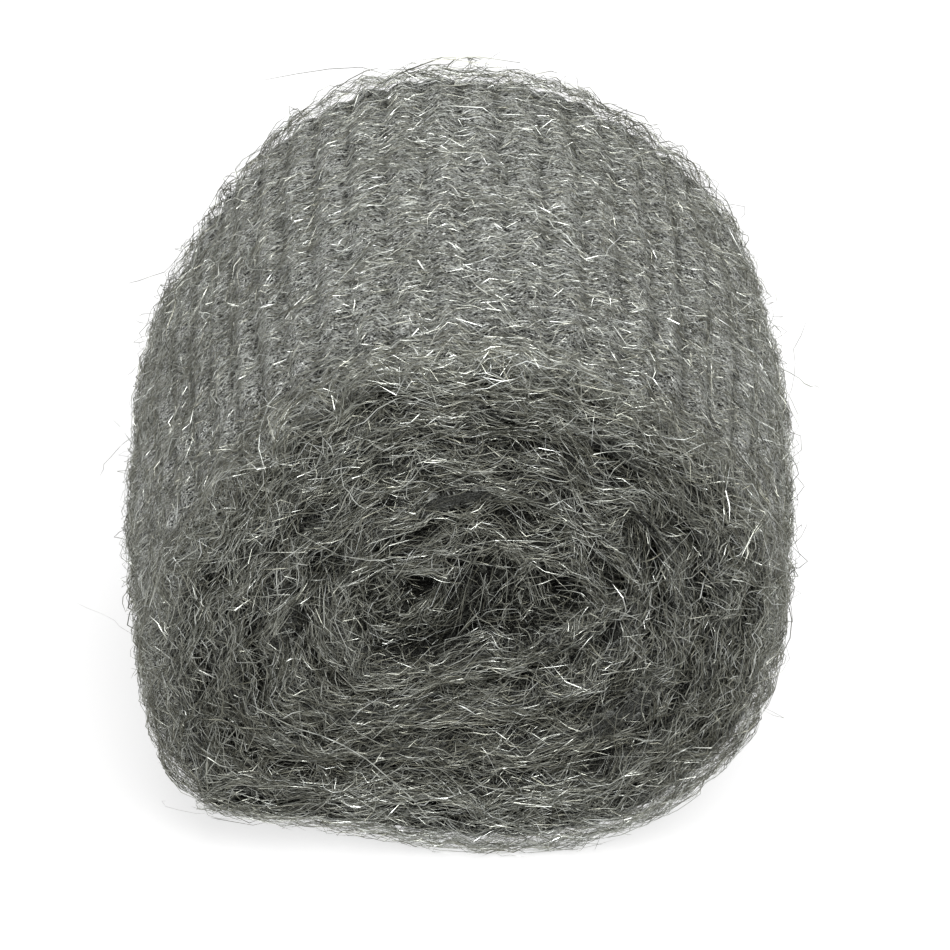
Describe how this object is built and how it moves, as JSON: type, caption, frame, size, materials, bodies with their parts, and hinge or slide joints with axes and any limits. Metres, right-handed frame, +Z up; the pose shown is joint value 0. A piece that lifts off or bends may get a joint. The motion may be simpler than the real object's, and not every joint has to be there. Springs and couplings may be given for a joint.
{
  "type": "steel wool roll",
  "caption": "Soft roll of steel wool: one ribbed ribbon wound into a spiral, lying on a small flat spot on its side.",
  "frame": {"origin": "middle of the bounding box's underside, on the small flat spot that the roll lies on", "axes": "+Z up, +Y along the roll's axis away from the end face that the picture shows, +X to the right as that face is looked at"},
  "size_m": [0.1014, 0.076, 0.1],
  "materials": {
    "steel_wool": "fine grey steel fibre, matt as a mass, with small bright glints"
  },
  "bodies": {
    "root": {"steel_wool_roll": "steel_wool"}
  },
  "joints": []
}
